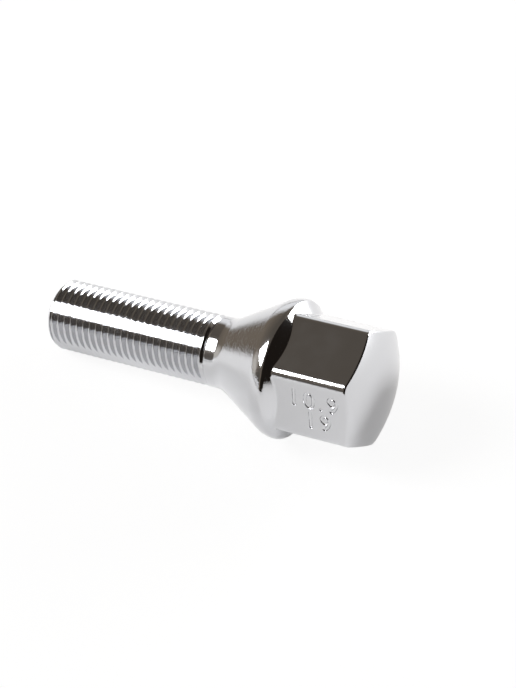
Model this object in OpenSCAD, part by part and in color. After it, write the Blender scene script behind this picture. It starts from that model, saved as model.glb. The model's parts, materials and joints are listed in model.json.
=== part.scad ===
// Wheel bolt with a conical seat, forged and thread-rolled in one piece.
// It lies on a level surface, on the rim of its collar and the tip of its shank.
// Millimetres, +Z up, with the shank pointing to -X and the head to +X.

/* [Thread] */
// Outer diameter of the thread and of the plain neck
thread_d = 12; // [8:0.5:18]
// Pitch of the right-hand thread
thread_pitch = 1.25; // [1:0.25:2]
// Length from the tip to the end of the thread
thread_len = 31.1; // [15:0.1:60]
// Height of the bevel that leads the thread in at the tip
tip_bevel = 1.1; // [0.5:0.1:2]
// Length over which the last groove runs out
runout = 0.9; // [0.5:0.1:4]
// Play between the rolled crests and the neck, on the radius
crest_relief = 0.03; // [0.01:0.01:0.1]
// Distance from the tip to a crest on the underside
crest_offset = 0.6; // [0:0.05:1.25]

/* [Collar] */
// Length of the plain neck between the thread and the seat's hollow curve
neck_len = 0.8; // [0.5:0.1:20]
// Radius of the hollow curve between neck and seat
hollow_r = 5; // [1:0.5:8]
// Full angle of the conical seat
seat_angle = 60; // [50:5:90]
// Widest diameter of the collar
collar_d = 23.4; // [21:0.2:30]
// Rounding from the seat to the widest ring
rim_r = 4.4; // [1:0.2:5]
// Rounding from the widest ring to the back of the collar
back_r = 0.9; // [0.4:0.1:2]
// Slope of the collar's back, measured from the bolt's axis
back_slope = 52; // [35:1:70]

/* [Head] */
// Width across the flats of the hexagon
hex_af = 19; // [15:1:22]
// Rounding of the hexagon's six corners
corner_r = 1.8; // [0.5:0.1:3]
// Length from the widest ring to the middle of the crown
head_len = 16.5; // [8:0.1:25]
// Radius of the domed crown
crown_r = 28; // [20:1:60]
// Turn of the hexagon about the shank as the bolt lies
hex_turn = -7.4; // [-30:0.1:30]

/* [Hidden] */

$fn = 96;
shank_r = thread_d / 2;

// Metric thread form
thread_facets = 24;
flank_angle = 30;
thread_depth = 0.6134 * thread_pitch;
crest_flat = thread_pitch / 8;
flank_run = thread_depth * tan(flank_angle);
crest_r = shank_r - crest_relief;
least_groove = 0.02;
corners_per_turn = 4;

// Room round the crests and past the thread's end, where the neck takes over
crest_room = 1;
thread_overlap = 0.4;

// Places along the axis, from the tip
neck_end = thread_len + neck_len;
seat_half = seat_angle / 2;
seat_corner = neck_end + hollow_r * tan(seat_half / 2);
collar_r = collar_d / 2;
rim_centre_r = collar_r - rim_r;
ring_s = seat_corner + (rim_r / cos(seat_half) + rim_centre_r - shank_r) / tan(seat_half);
back_centre_r = collar_r - back_r;
back_edge_r = back_centre_r + back_r * cos(back_slope);
back_edge_s = ring_s + back_r * sin(back_slope);
back_overlap = 1;
back_end_r = hex_af / 2 - back_overlap;
back_end_s = back_edge_s + (back_edge_r - back_end_r) / tan(back_slope);
crown_s = ring_s + head_len;
crown_clear = 1;

// Centres of the hexagon's rounded corners
corner_centre_r = (hex_af / 2 - corner_r) / cos(30);

// Rest on the collar's rim and on the first full crest of the underside
rest_crest = ceil((tip_bevel - crest_offset - crest_flat / 2) / thread_pitch);
tip_rest_s = max(tip_bevel, crest_offset + rest_crest * thread_pitch - crest_flat / 2);
rest_run = ring_s - tip_rest_s;
rest_rise = rim_centre_r - crest_r;
rest_span = sqrt(rest_run * rest_run + rest_rise * rest_rise);
rest_tilt = atan2(rest_rise, rest_run) + asin(rim_r / rest_span);
rest_lift = crest_r * cos(rest_tilt) - tip_rest_s * sin(rest_tilt);

// Middle of the length on the surface
low_x = -(crest_r - tip_bevel) * sin(rest_tilt);
high_x = (crown_s - crown_r) * cos(rest_tilt) + crown_r;
mid_x = (low_x + high_x) / 2;

// Points on an arc about [x, y], from one angle to another
arc_steps = 10;
function arc(x, y, r, from, to) =
    [for (i = [0:arc_steps]) let (a = from + (to - from) * i / arc_steps) [x + r * cos(a), y + r * sin(a)]];

// Radius of the groove's bottom at a height, shallower where the thread runs out
function groove_r(s) =
    crest_r - max(least_groove, thread_depth * min(1, max(0, (thread_len - s) / runout)));

// The corners of one turn of the thread at a height: groove, crest, crest, groove
function turn_corners(s) = [
    [groove_r(s), s - crest_flat / 2 - flank_run],
    [crest_r, s - crest_flat / 2],
    [crest_r, s + crest_flat / 2],
    [groove_r(s), s + crest_flat / 2 + flank_run]
];

// Rod with the whole helical thread, longer than the shank at both ends
module threaded_rod() {
    first_turn = floor(-crest_offset / thread_pitch) - 1;
    last_turn = ceil((thread_len - crest_offset) / thread_pitch) + 1;
    columns = [
        for (i = [0:thread_facets - 1]) [
            for (turn = [first_turn:last_turn])
                for (c = turn_corners(crest_offset + thread_pitch * (turn + i / thread_facets)))
                    [c[0] * cos(360 * i / thread_facets), c[0] * sin(360 * i / thread_facets), c[1]]
        ]
    ];
    rows = len(columns[0]);
    seam = (thread_facets - 1) * rows;
    low = thread_facets * rows;
    high = low + 1;
    points = concat(
        [for (column = columns) each column],
        [[0, 0, columns[0][0][2]], [0, 0, columns[0][rows - 1][2]]]
    );
    wall = [
        for (i = [0:thread_facets - 2], m = [0:rows - 2])
            let (a = i * rows + m, b = a + rows)
                each [[a, a + 1, b], [a + 1, b + 1, b]]
    ];
    seam_wall = [
        for (m = [0:rows - corners_per_turn - 2])
            let (a = seam + m, b = m + corners_per_turn)
                each [[a, a + 1, b], [a + 1, b + 1, b]]
    ];
    low_end = concat(
        [for (i = [0:thread_facets - 2]) [low, i * rows, (i + 1) * rows]],
        [[low, seam, corners_per_turn]],
        [for (m = [0:corners_per_turn - 1]) [low, m + 1, m]]
    );
    high_end = concat(
        [for (i = [0:thread_facets - 2]) [high, (i + 2) * rows - 1, (i + 1) * rows - 1]],
        [[high, rows - 1, seam + rows - corners_per_turn - 1]],
        [for (m = [rows - corners_per_turn - 1:rows - 2]) [high, seam + m, seam + m + 1]]
    );
    polyhedron(points = points, faces = concat(wall, seam_wall, low_end, high_end), convexity = 10);
}

// Space that the bevelled tip and the neck leave for the rod
module shank_room() {
    rotate_extrude()
        polygon([
            [0, 0],
            [crest_r - tip_bevel, 0],
            [crest_r + crest_room, tip_bevel + crest_room],
            [crest_r + crest_room, thread_len + thread_overlap],
            [0, thread_len + thread_overlap]
        ]);
}

module threaded_shank() {
    intersection() {
        threaded_rod();
        shank_room();
    }
}

// Neck, hollow curve, conical seat, rounded rim and back of the collar
module neck_and_collar() {
    rotate_extrude()
        polygon(concat(
            [[0, thread_len], [shank_r, thread_len]],
            arc(shank_r + hollow_r, neck_end, hollow_r, 180, 180 - seat_half),
            arc(rim_centre_r, ring_s, rim_r, -seat_half, 0),
            arc(back_centre_r, ring_s, back_r, 0, back_slope),
            [[back_end_r, back_end_s], [0, back_end_s]]
        ));
}

// Hexagon with its corners rounded by arcs
module hexagon() {
    polygon([
        for (turn = [0:60:300])
            each arc(corner_centre_r * cos(turn), corner_centre_r * sin(turn), corner_r, turn - 30, turn + 30)
    ]);
}

// Hexagonal head, cut off by the domed crown
module hex_head() {
    intersection() {
        translate([0, 0, ring_s])
            rotate(hex_turn)
                linear_extrude(head_len + crown_clear)
                    hexagon();
        translate([0, 0, crown_s - crown_r])
            sphere(r = crown_r);
    }
}

// The whole bolt, laid down with its widest ring and its tip on the surface
module wheel_bolt() {
    color("silver")
        translate([-mid_x, 0, rest_lift])
            rotate([0, 90 - rest_tilt, 0]) {
                threaded_shank();
                neck_and_collar();
                hex_head();
            }
}

wheel_bolt();
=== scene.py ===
import json
import math

import bmesh
import bpy
from mathutils import Matrix, Vector


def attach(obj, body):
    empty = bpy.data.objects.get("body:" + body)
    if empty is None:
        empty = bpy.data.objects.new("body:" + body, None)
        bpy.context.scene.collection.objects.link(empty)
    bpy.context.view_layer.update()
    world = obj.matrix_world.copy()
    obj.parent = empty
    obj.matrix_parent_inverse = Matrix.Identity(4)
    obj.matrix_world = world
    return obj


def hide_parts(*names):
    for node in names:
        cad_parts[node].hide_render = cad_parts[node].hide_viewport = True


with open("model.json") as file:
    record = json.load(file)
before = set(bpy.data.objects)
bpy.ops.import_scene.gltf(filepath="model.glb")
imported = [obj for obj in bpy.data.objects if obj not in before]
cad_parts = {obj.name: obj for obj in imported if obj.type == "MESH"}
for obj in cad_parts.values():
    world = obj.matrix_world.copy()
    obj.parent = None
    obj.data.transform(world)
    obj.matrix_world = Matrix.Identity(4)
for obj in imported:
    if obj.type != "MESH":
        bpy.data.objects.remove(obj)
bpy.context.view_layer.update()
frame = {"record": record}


# The photograph's view: a long lens, looking down on the bolt from the side of its head. The lens
# is for the frame's long side, 688 pixels high. Sizes are in millimetres, and the scene in metres.
MM = 0.001
camera_data = bpy.data.cameras.new("camera")
camera_data.lens = 116.12
camera_data.sensor_width = 36.0
camera_data.clip_start = 0.01
camera_data.clip_end = 20.0
camera = bpy.data.objects.new("camera", camera_data)
camera.location = Vector((131.138, -235.468, 259.226)) * MM
camera.rotation_euler = (math.radians(47.372), 0.0, math.radians(27.670))
bpy.context.scene.collection.objects.link(camera)
bpy.context.scene.camera = camera


# The forged blank: plain neck, hollow curve, conical seat, collar and hexagon are one piece of
# alloy steel, upset and struck in dies. Each level of it is a ring of the same columns, round
# below and hexagonal above, drawn up from the neck to the middle of the crown.
COLUMNS_IN_CORNER = 14
COLUMNS_IN_FLAT = 16
NECK_ROWS = 4
shank_r = 6.0
thread_len = 31.1
neck_end = 32.7
neck_crease = math.radians(12.6)
hollow_r = 5.9
seat_corner = 33.24
seat_half = math.radians(30.0)
collar_r = 11.7
rim_r = 4.4
back_r = 0.9
back_slope = math.radians(52.0)
hex_af = 19.0
corner_r = 1.8
hex_turn = math.radians(-7.4)
head_len = 16.49
crown_r = 28.0
root_blend_r = 0.6
crown_edge_r = 0.4

hollow_centre = (
    shank_r + hollow_r * math.cos(neck_crease),
    neck_end - hollow_r * math.sin(neck_crease),
)
rim_centre_r = collar_r - rim_r
ring_level = seat_corner + (rim_r / math.cos(seat_half) + rim_centre_r - shank_r) / math.tan(seat_half)
crown_level = ring_level + head_len
crown_centre = crown_level - crown_r
back_edge_r = collar_r - back_r + back_r * math.cos(back_slope)
back_edge_level = ring_level + back_r * math.sin(back_slope)
corner_centre_r = (hex_af / 2 - corner_r) / math.cos(math.radians(30))
corner_reach = math.atan2(corner_r / 2, corner_centre_r + corner_r * math.cos(math.radians(30)))


def hexagon_radius(turn):
    """Distance from the axis to the rounded hexagon, at a turn from one of its corners."""
    off = abs((turn + math.radians(30)) % math.radians(60) - math.radians(30))
    if off > corner_reach:
        return hex_af / 2 / math.cos(math.radians(30) - off)
    across = corner_centre_r * math.sin(off)
    return corner_centre_r * math.cos(off) + math.sqrt(corner_r ** 2 - across ** 2)


def arc(x, y, radius, start, end, steps):
    """Points on an arc about (x, y), both ends included."""
    turns = [start + (end - start) * i / steps for i in range(steps + 1)]
    return [(x + radius * math.cos(a), y + radius * math.sin(a)) for a in turns]


# The columns stand close together on the corners and towards them on the flats.
turns = []
for side in range(6):
    corner = math.radians(60) * side
    turns += [corner + corner_reach * (2 * i / COLUMNS_IN_CORNER - 1) for i in range(COLUMNS_IN_CORNER)]
    flat = math.radians(60) - 2 * corner_reach
    for i in range(COLUMNS_IN_FLAT):
        share = 0.5 - 0.5 * math.cos(math.pi * i / COLUMNS_IN_FLAT)
        turns.append(corner + corner_reach + flat * share)

round_profile = (
    [(shank_r, thread_len + (neck_end - thread_len) * i / NECK_ROWS) for i in range(NECK_ROWS)]
    + arc(*hollow_centre, hollow_r, math.pi - neck_crease, math.pi - seat_half, steps=16)
    + arc(rim_centre_r, ring_level, rim_r, -seat_half, 0.0, steps=16)
    + arc(collar_r - back_r, ring_level, back_r, 0.0, back_slope, steps=8)[1:]
)
rings = [[point] * len(turns) for point in round_profile]

# From the collar's back on, a column's radius follows the hexagon at its own turn. Its rows stand
# at shares of the flat's height, and then at shares of the crown's radius from the edge inwards.
flat_shares = (0.01, 0.05, 0.2, 0.4, 0.6, 0.8, 0.95, 0.99)
crown_shares = (
    0.995, 0.97, 0.92, 0.86, 0.8, 0.72, 0.64, 0.56, 0.48, 0.4, 0.32, 0.24, 0.16, 0.08, 0.03
)
upper = []
for turn in turns:
    flat_r = hexagon_radius(turn)
    blend_level = back_edge_level + (
        root_blend_r - (flat_r + root_blend_r - back_edge_r) * math.cos(back_slope)
    ) / math.sin(back_slope)
    root = arc(
        flat_r + root_blend_r, blend_level, root_blend_r, math.pi + back_slope, math.pi, steps=6
    )
    edge_level = crown_centre + math.sqrt((crown_r - crown_edge_r) ** 2 - (flat_r - crown_edge_r) ** 2)
    edge_turn = math.atan2(edge_level - crown_centre, flat_r - crown_edge_r)
    edge = arc(flat_r - crown_edge_r, edge_level, crown_edge_r, 0.0, edge_turn, steps=8)
    flat_rows = [(flat_r, blend_level + (edge_level - blend_level) * share) for share in flat_shares]
    crown = []
    for share in crown_shares:
        r = edge[-1][0] * share
        crown.append((r, crown_centre + math.sqrt(crown_r ** 2 - r ** 2)))
    upper.append(root + flat_rows + edge + crown)
rings += [list(level) for level in zip(*upper)]


def place_ring(mesh, ring):
    """Sets the selected loop on a ring: each vertex keeps its own column."""
    for v in mesh.verts:
        if v.select:
            turn = math.atan2(v.co.y, v.co.x) - hex_turn
            column = min(
                range(len(turns)), key=lambda i: abs(math.remainder(turn - turns[i], math.tau))
            )
            r, level = ring[column]
            angle = turns[column] + hex_turn
            v.co = (r * math.cos(angle), r * math.sin(angle), level)


bpy.ops.object.select_all(action="DESELECT")
bpy.ops.mesh.primitive_circle_add(vertices=len(turns), radius=shank_r, location=(0, 0, 0))
blank = bpy.context.object
blank.name = "bolt"
loop = sorted(blank.data.vertices, key=lambda v: math.atan2(v.co.y, v.co.x) % math.tau)
for v, turn in zip(loop, turns):
    v.co = (shank_r * math.cos(turn + hex_turn), shank_r * math.sin(turn + hex_turn), thread_len)
bpy.ops.object.mode_set(mode="EDIT")
bpy.ops.mesh.select_mode(type="VERT")
bpy.ops.mesh.select_all(action="SELECT")
for ring in rings[1:]:
    bpy.ops.mesh.extrude_region_move()
    mesh = bmesh.from_edit_mesh(blank.data)
    place_ring(mesh, ring)
    bmesh.update_edit_mesh(blank.data)
bpy.ops.mesh.merge(type="CENTER")
bpy.ops.mesh.select_all(action="DESELECT")
bpy.ops.mesh.select_non_manifold()
bpy.ops.mesh.edge_face_add()
bpy.ops.mesh.select_all(action="SELECT")
bpy.ops.mesh.normals_make_consistent(inside=False)
bpy.ops.object.mode_set(mode="OBJECT")


# The thread: rolled between dies into the shank as a right-hand helix, so its crests and roots are
# rounded and nothing is cut away. It fades out before the neck, and the tip is bevelled.
STEPS_PER_TURN = 72
pitch = 1.25
thread_depth = 0.6134 * pitch
crest_relief = 0.03
crest_flat = pitch / 8
crest_round = 0.07
root_round = 0.07
crest_offset = 0.6
flank_angle = math.radians(30.0)
runout = 0.9
tip_bevel = 1.11
turns_beyond = 2
flush_gap = 0.004
runout_lead = 0.1
weld_distance = 0.001

# The crest's radius, the groove's bottom and the run of a flank along the axis.
crest_r = shank_r - crest_relief
root_r = crest_r - thread_depth
flank_run = thread_depth * math.tan(flank_angle)


def bend(corner, radius, start, end, steps):
    """A rounded corner between two straight lines, which leave it at start and arrive at end."""
    half = (end - start) / 2
    reach = radius / math.cos(half)
    middle = start + half + math.copysign(math.pi / 2, half)
    centre = (corner[0] + reach * math.cos(middle), corner[1] + reach * math.sin(middle))
    away = middle + math.pi
    return arc(centre[0], centre[1], radius, away - half, away + half, steps)


# One pitch from crest to crest as (level, radius): down one flank, along the root and up the other.
fall = flank_angle - math.pi / 2
groove = (
    [(0.0, crest_r)]
    + bend((crest_flat / 2, crest_r), crest_round, 0.0, fall, steps=3)
    + bend((crest_flat / 2 + flank_run, root_r), root_round, fall, 0.0, steps=4)
    + bend((pitch - crest_flat / 2 - flank_run, root_r), root_round, 0.0, -fall, steps=4)
    + bend((pitch - crest_flat / 2, crest_r), crest_round, -fall, 0.0, steps=3)
    + [(pitch, crest_r)]
)
thread_turns = math.ceil(thread_len / pitch) + 2 * turns_beyond
thread_start = crest_offset - turns_beyond * pitch
thread_middle = thread_start + pitch * (thread_turns + 1) / 2

bpy.ops.object.select_all(action="DESELECT")
bpy.ops.mesh.primitive_plane_add(size=pitch, location=(0, 0, 0))
thread = bpy.context.object
thread.name = "thread"
bpy.ops.object.mode_set(mode="EDIT")
bpy.ops.mesh.select_mode(type="VERT")
bpy.ops.mesh.select_all(action="SELECT")
bpy.ops.mesh.merge(type="CENTER")
mesh = bmesh.from_edit_mesh(thread.data)
for v in mesh.verts:
    v.co = (groove[0][1], 0.0, thread_start)
bmesh.update_edit_mesh(thread.data)
for (level, r), (next_level, next_r) in zip(groove, groove[1:]):
    bpy.ops.mesh.extrude_region_move(
        TRANSFORM_OT_translate={"value": (next_r - r, 0.0, next_level - level)}
    )
bpy.ops.object.mode_set(mode="OBJECT")
bpy.ops.object.modifier_add(type="SCREW")
winding = thread.modifiers[-1]
winding.axis = "Z"
winding.angle = math.tau
winding.screw_offset = pitch
winding.iterations = thread_turns
winding.steps = STEPS_PER_TURN
winding.render_steps = STEPS_PER_TURN
bpy.ops.object.modifier_apply(modifier=winding.name)
bpy.ops.object.mode_set(mode="EDIT")
bpy.ops.mesh.select_all(action="SELECT")
bpy.ops.mesh.remove_doubles(threshold=weld_distance)

# Each open end is drawn together on the axis, where the blank and the tip's cut will hide it.
# Towards the neck the groove is then made shallower, until it is nearly flush with the neck.
for upper_end in (True, False):
    bpy.ops.mesh.select_all(action="DESELECT")
    bpy.ops.mesh.select_non_manifold()
    mesh = bmesh.from_edit_mesh(thread.data)
    for v in mesh.verts:
        if v.select and (v.co.z > thread_middle) != upper_end:
            v.select_set(False)
    mesh.select_flush_mode()
    bmesh.update_edit_mesh(thread.data)
    bpy.ops.mesh.extrude_edges_move()
    bpy.ops.mesh.merge(type="CENTER")
mesh = bmesh.from_edit_mesh(thread.data)
for v in mesh.verts:
    r = math.hypot(v.co.x, v.co.y)
    share = min(max((v.co.z - thread_len + runout) / (runout - runout_lead), 0.0), 1.0)
    if r > root_r / 2:
        wider = 1 + (shank_r - flush_gap - r) * share / r
        v.co.x *= wider
        v.co.y *= wider
bmesh.update_edit_mesh(thread.data)
bpy.ops.mesh.select_all(action="SELECT")
bpy.ops.mesh.normals_make_consistent(inside=False)
bpy.ops.object.mode_set(mode="OBJECT")

# A bevelled bar, a little wider than the thread and longer than it at the neck, trims both ends.
bar_room = 0.3
bar_tip_r = crest_r - tip_bevel
bar_r = shank_r + bar_room
bar_bevel = bar_r - crest_r + tip_bevel
bar_top = thread_len + bar_room
bpy.ops.object.select_all(action="DESELECT")
bpy.ops.mesh.primitive_circle_add(
    vertices=2 * STEPS_PER_TURN, radius=bar_tip_r, fill_type="NGON", location=(0, 0, 0)
)
bar = bpy.context.object
bpy.ops.object.mode_set(mode="EDIT")
bpy.ops.mesh.select_all(action="SELECT")
bpy.ops.mesh.extrude_region_move(TRANSFORM_OT_translate={"value": (0, 0, bar_bevel)})
widen = bar_r / bar_tip_r
bpy.ops.transform.resize(value=(widen, widen, 1))
bpy.ops.mesh.extrude_region_move(TRANSFORM_OT_translate={"value": (0, 0, bar_top - bar_bevel)})
bpy.ops.mesh.select_all(action="SELECT")
bpy.ops.mesh.normals_make_consistent(inside=False)
bpy.ops.object.mode_set(mode="OBJECT")


def combine(piece, other, operation):
    """Joins, cuts or trims a solid with another, and removes the other."""
    bpy.ops.object.select_all(action="DESELECT")
    bpy.context.view_layer.objects.active = piece
    piece.select_set(True)
    bpy.ops.object.modifier_add(type="BOOLEAN")
    modifier = piece.modifiers[-1]
    modifier.operation = operation
    modifier.solver = "MANIFOLD"
    modifier.object = other
    bpy.ops.object.modifier_apply(modifier=modifier.name)
    bpy.data.objects.remove(other)


combine(thread, bar, "INTERSECT")
combine(blank, thread, "UNION")


# Numbers struck into one flat with punches after forging: the strength class and the size of the
# hexagon, as plain figures. A punch leaves a rounded groove, so each figure is a thin solid with
# a round edge, cut away. A figure has its level from the tip and its place across the flat.
figures = [("10.9", 53.1, -1.7), ("19", 53.8, 2.0)]
figure_size = 4.3
figure_spacing = 1.25
stroke_change = -0.11
strike_depth = 0.19
flat_turn = hex_turn - math.radians(90)
across_flat = Vector((-math.sin(flat_turn), math.cos(flat_turn), 0))
out_of_flat = Vector((math.cos(flat_turn), math.sin(flat_turn), 0))
punches = []
for text, level, across in figures:
    bpy.ops.object.select_all(action="DESELECT")
    bpy.ops.object.text_add(location=(0, 0, 0))
    punch = bpy.context.object
    punch.data.body = text
    punch.data.size = figure_size
    punch.data.space_character = figure_spacing
    punch.data.align_x = "CENTER"
    punch.data.align_y = "CENTER"
    punch.data.offset = stroke_change
    punch.data.bevel_depth = strike_depth
    punch.data.bevel_resolution = 2
    bpy.ops.object.convert(target="MESH")
    bpy.ops.object.mode_set(mode="EDIT")
    bpy.ops.mesh.select_all(action="SELECT")
    bpy.ops.mesh.remove_doubles(threshold=weld_distance)
    bpy.ops.mesh.normals_make_consistent(inside=False)
    bpy.ops.object.mode_set(mode="OBJECT")
    place = Matrix((Vector((0, 0, 1)), -across_flat, out_of_flat)).transposed().to_4x4()
    place.translation = out_of_flat * (hex_af / 2) + across_flat * across + Vector((0, 0, level))
    punch.matrix_world = place
    bpy.ops.object.transform_apply(location=True, rotation=True, scale=True)
    punches.append(punch)
for punch in punches:
    punch.select_set(True)
bpy.ops.object.join()
combine(blank, bpy.context.object, "DIFFERENCE")


# The finished surface: broad faces keep their true normals, and the narrow roundings between them
# carry the turn. The bolt then lies as it rests, on its collar and the tip of its thread.
sharp_angle = math.radians(32)
bpy.ops.object.select_all(action="DESELECT")
bpy.context.view_layer.objects.active = blank
blank.select_set(True)
bpy.ops.object.shade_smooth_by_angle(angle=sharp_angle)
bpy.ops.object.modifier_add(type="WEIGHTED_NORMAL")
weighting = blank.modifiers[-1]
weighting.keep_sharp = True
bpy.ops.object.modifier_apply(modifier=weighting.name)

tip_mount = next(m for m in frame["record"]["mounts"] if m["name"] == "thread")
along = -Vector(tip_mount["axis"]).normalized()
sideways = Vector((0, 1, 0))
under = sideways.cross(along)
lay = Matrix((under, sideways, along)).transposed().to_4x4()
lay.translation = Vector(tip_mount["pos_m"])
blank.matrix_world = lay @ Matrix.Scale(MM, 4)
bpy.ops.object.transform_apply(location=True, rotation=True, scale=True)
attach(blank, "root")
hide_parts("wheel_bolt")


# Bright chrome plating over nickel: a hard mirror, slightly cool and darker than silver. The forged
# skin under it leaves a soft orange peel and fine pits that the plating doesn't level. The pits
# are deeper on the seat and collar than on the rolled thread and the hexagon.
peel_size = 1.11
peel_depth = 0.009
grit_size = 0.3125
grit_depths = (0.002, 0.014)
smudge_size = 3.85
smudge_levels = (0.3, 0.7)
roughnesses = (0.06, 0.12)
skin_fade = 1.0


def linear(colour):
    """An sRGB hex colour as linear red, green, blue and full alpha."""
    parts = [int(colour[i : i + 2], 16) / 255 for i in (1, 3, 5)]
    return [c / 12.92 if c <= 0.04045 else ((c + 0.055) / 1.055) ** 2.4 for c in parts] + [1.0]


def add_node(material, kind, sockets=None, **settings):
    """Adds a node: its settings by name, its sockets by value or by the output that feeds them."""
    added = material.node_tree.nodes.new("ShaderNode" + kind)
    for name, value in settings.items():
        setattr(added, name, value)
    for name, value in (sockets or {}).items():
        if isinstance(value, bpy.types.NodeSocket):
            material.node_tree.links.new(value, added.inputs[name])
        else:
            added.inputs[name].default_value = value
    return added


chrome = bpy.data.materials.new("bright_chrome_plating")
chrome.use_nodes = True
chrome.node_tree.nodes.clear()
surface = add_node(chrome, "TexCoord").outputs["Object"]
along_bolt = add_node(chrome, "VectorMath", {0: surface, 1: along / MM}, operation="DOT_PRODUCT")
level_here = add_node(
    chrome,
    "Math",
    {0: along_bolt.outputs["Value"], 1: along.dot(lay.translation) / MM},
    operation="SUBTRACT",
)
past_neck = add_node(
    chrome, "MapRange", {"Value": level_here.outputs[0], "From Min": neck_end, "From Max": seat_corner}
)
before_head = add_node(
    chrome,
    "MapRange",
    {
        "Value": level_here.outputs[0],
        "From Min": ring_level,
        "From Max": back_edge_level + skin_fade,
        "To Min": 1.0,
        "To Max": 0.0,
    },
)
forged_skin = add_node(
    chrome,
    "Math",
    {0: past_neck.outputs["Result"], 1: before_head.outputs["Result"]},
    operation="MULTIPLY",
)
grit_depth = add_node(
    chrome,
    "MapRange",
    {"Value": forged_skin.outputs[0], "To Min": grit_depths[0] * MM, "To Max": grit_depths[1] * MM},
)
peel = add_node(chrome, "TexNoise", {"Vector": surface, "Scale": 1 / (peel_size * MM), "Detail": 2.0})
grit = add_node(chrome, "TexNoise", {"Vector": surface, "Scale": 1 / (grit_size * MM), "Detail": 1.0})
peel_bump = add_node(
    chrome, "Bump", {"Height": peel.outputs["Fac"], "Strength": 1.0, "Distance": peel_depth * MM}
)
grit_bump = add_node(
    chrome,
    "Bump",
    {
        "Height": grit.outputs["Fac"],
        "Strength": 1.0,
        "Distance": grit_depth.outputs["Result"],
        "Normal": peel_bump.outputs["Normal"],
    },
)
smudge = add_node(chrome, "TexNoise", {"Vector": surface, "Scale": 1 / (smudge_size * MM), "Detail": 3.0})
gloss = add_node(
    chrome,
    "MapRange",
    {
        "Value": smudge.outputs["Fac"],
        "From Min": smudge_levels[0],
        "From Max": smudge_levels[1],
        "To Min": roughnesses[0],
        "To Max": roughnesses[1],
    },
)
shader = add_node(
    chrome,
    "BsdfPrincipled",
    {
        "Base Color": linear("#C8C9CC"),
        "Metallic": 1.0,
        "Roughness": gloss.outputs["Result"],
        "Normal": grit_bump.outputs["Normal"],
    },
)
add_node(chrome, "OutputMaterial", {"Surface": shader.outputs["BSDF"]})
blank.data.materials.clear()
blank.data.materials.append(chrome)


# The studio's floor: a sheet of matt white paper. The camera sees it as nearly white, with the
# bolt's shadow, and the chrome reflects it nearly as it is lit.
floor_size = 6.0
glow_to_camera = 0.9
glow_to_gloss = 0.05

bpy.ops.object.select_all(action="DESELECT")
bpy.ops.mesh.primitive_plane_add(size=floor_size, location=(0, 0, 0))
floor = bpy.context.object
floor.name = "floor"
paper = bpy.data.materials.new("white_paper_floor")
paper.use_nodes = True
paper.node_tree.nodes.clear()
path = add_node(paper, "LightPath")
matt = add_node(paper, "BsdfDiffuse", {"Color": linear("#F2F2F2")})
glow = add_node(paper, "Emission", {"Color": linear("#FFFFFF"), "Strength": 1.0})
seen_direct = add_node(
    paper, "Math", {0: path.outputs["Is Camera Ray"], 1: glow_to_camera}, operation="MULTIPLY"
)
seen_in_gloss = add_node(
    paper, "Math", {0: path.outputs["Is Glossy Ray"], 1: glow_to_gloss}, operation="MULTIPLY"
)
glow_share = add_node(
    paper, "Math", {0: seen_direct.outputs[0], 1: seen_in_gloss.outputs[0]}, operation="ADD"
)
mixed = add_node(
    paper,
    "MixShader",
    {0: glow_share.outputs[0], 1: matt.outputs["BSDF"], 2: glow.outputs["Emission"]},
)
add_node(paper, "OutputMaterial", {"Surface": mixed.outputs["Shader"]})
floor.data.materials.append(paper)


# The lamps: two upright softboxes, on the left and behind, whose reflections draw the white bands
# on the chrome, and a broad soft lamp overhead that lights the floor and isn't mirrored itself.
def direction(azimuth, elevation):
    """The unit vector from the bolt towards an azimuth, from +X to +Y, and an elevation."""
    a, e = math.radians(azimuth), math.radians(elevation)
    return Vector((math.cos(e) * math.cos(a), math.cos(e) * math.sin(a), math.sin(e)))


def softbox(name, azimuth, half_angle, low, high, distance, watts):
    """An upright rectangular lamp that the bolt sees between two elevations, about an azimuth."""
    data = bpy.data.lights.new(name, "AREA")
    data.shape = "RECTANGLE"
    bottom, top = (distance * math.tan(math.radians(e)) for e in (low, high))
    data.size = 2 * distance * math.tan(math.radians(half_angle))
    data.size_y = top - bottom
    data.energy = watts
    lamp = bpy.data.objects.new(name, data)
    lamp.location = direction(azimuth, 0) * distance + Vector((0, 0, (bottom + top) / 2))
    lamp.rotation_euler = direction(azimuth, 0).to_track_quat("Z", "Y").to_euler()
    bpy.context.scene.collection.objects.link(lamp)


softbox("left_softbox", azimuth=-144.5, half_angle=16.5, low=29.5, high=56, distance=0.5, watts=7.3)
softbox("back_softbox", azimuth=59.5, half_angle=18.5, low=2, high=25, distance=0.35, watts=1.6)
overhead_light = bpy.data.lights.new("overhead_lamp", "AREA")
overhead_light.size = 1.0
overhead_light.energy = 3.0
overhead = bpy.data.objects.new("overhead_lamp", overhead_light)
overhead.location = (0.0, 0.0, 1.3)
overhead.visible_glossy = False
bpy.context.scene.collection.objects.link(overhead)


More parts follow.
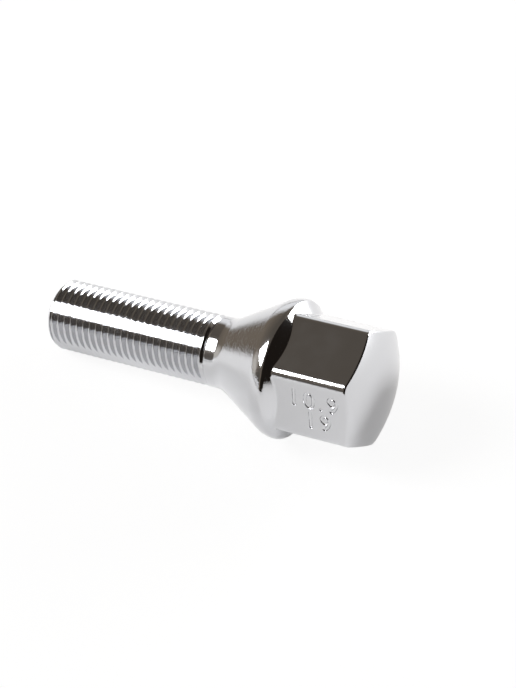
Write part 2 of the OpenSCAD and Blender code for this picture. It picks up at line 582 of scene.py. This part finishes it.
# The room that the chrome reflects: warm grey walls, darkest to the right of the camera, with
# bright screens on the left and at the back. The camera itself sees white in their place.
room = bpy.data.worlds.new("dark_room")
bpy.context.scene.world = room
room.use_nodes = True
room.node_tree.nodes.clear()
seen = add_node(room, "TexCoord").outputs["Generated"]


def facing(azimuth, elevation, outer, inner):
    """From 0 at the outer angle to 1 at the inner angle about a direction, in degrees."""
    dot = add_node(
        room, "VectorMath", {0: seen, 1: direction(azimuth, elevation)}, operation="DOT_PRODUCT"
    )
    limits = {"From Min": math.cos(math.radians(outer)), "From Max": math.cos(math.radians(inner))}
    return add_node(room, "MapRange", {"Value": dot.outputs["Value"], **limits}).outputs["Result"]


def wall(below, share, colour, strength=1.0):
    """Paints a share of the room in another colour, over what is there already."""
    paint = add_node(room, "Background", {"Color": linear(colour), "Strength": strength})
    return add_node(
        room, "MixShader", {0: share, 1: below, 2: paint.outputs["Background"]}
    ).outputs["Shader"]


low_wall = add_node(room, "Background", {"Color": linear("#83786B")}).outputs["Background"]
ceiling = facing(azimuth=0, elevation=90, outer=75, inner=35)
dark_end = facing(azimuth=-25, elevation=10, outer=68, inner=63)
left_screen = facing(azimuth=-156, elevation=3, outer=22, inner=10)
dim_gap = facing(azimuth=-123, elevation=7, outer=20, inner=11)
back_screen = facing(azimuth=108, elevation=-4, outer=42, inner=28)
table_edge = facing(azimuth=-128, elevation=-40, outer=45.5, inner=44.5)
room_walls = wall(low_wall, ceiling, "#625B53")
room_walls = wall(room_walls, dark_end, "#221D19")
room_walls = wall(room_walls, left_screen, "#DED8CF")
room_walls = wall(room_walls, dim_gap, "#655F59")
room_walls = wall(room_walls, back_screen, "#FFFFFF", strength=1.15)
room_walls = wall(room_walls, table_edge, "#FFFFFF", strength=1.1)
white_sky = add_node(room, "Background", {"Color": linear("#FFFFFF"), "Strength": 1.0})
straight = add_node(room, "LightPath")
sky = add_node(
    room,
    "MixShader",
    {
        0: straight.outputs["Is Camera Ray"],
        1: room_walls,
        2: white_sky.outputs["Background"],
    },
)
add_node(room, "OutputWorld", {"Surface": sky.outputs["Shader"]})


# Colours are shown as they are.
bpy.context.scene.view_settings.view_transform = "Standard"
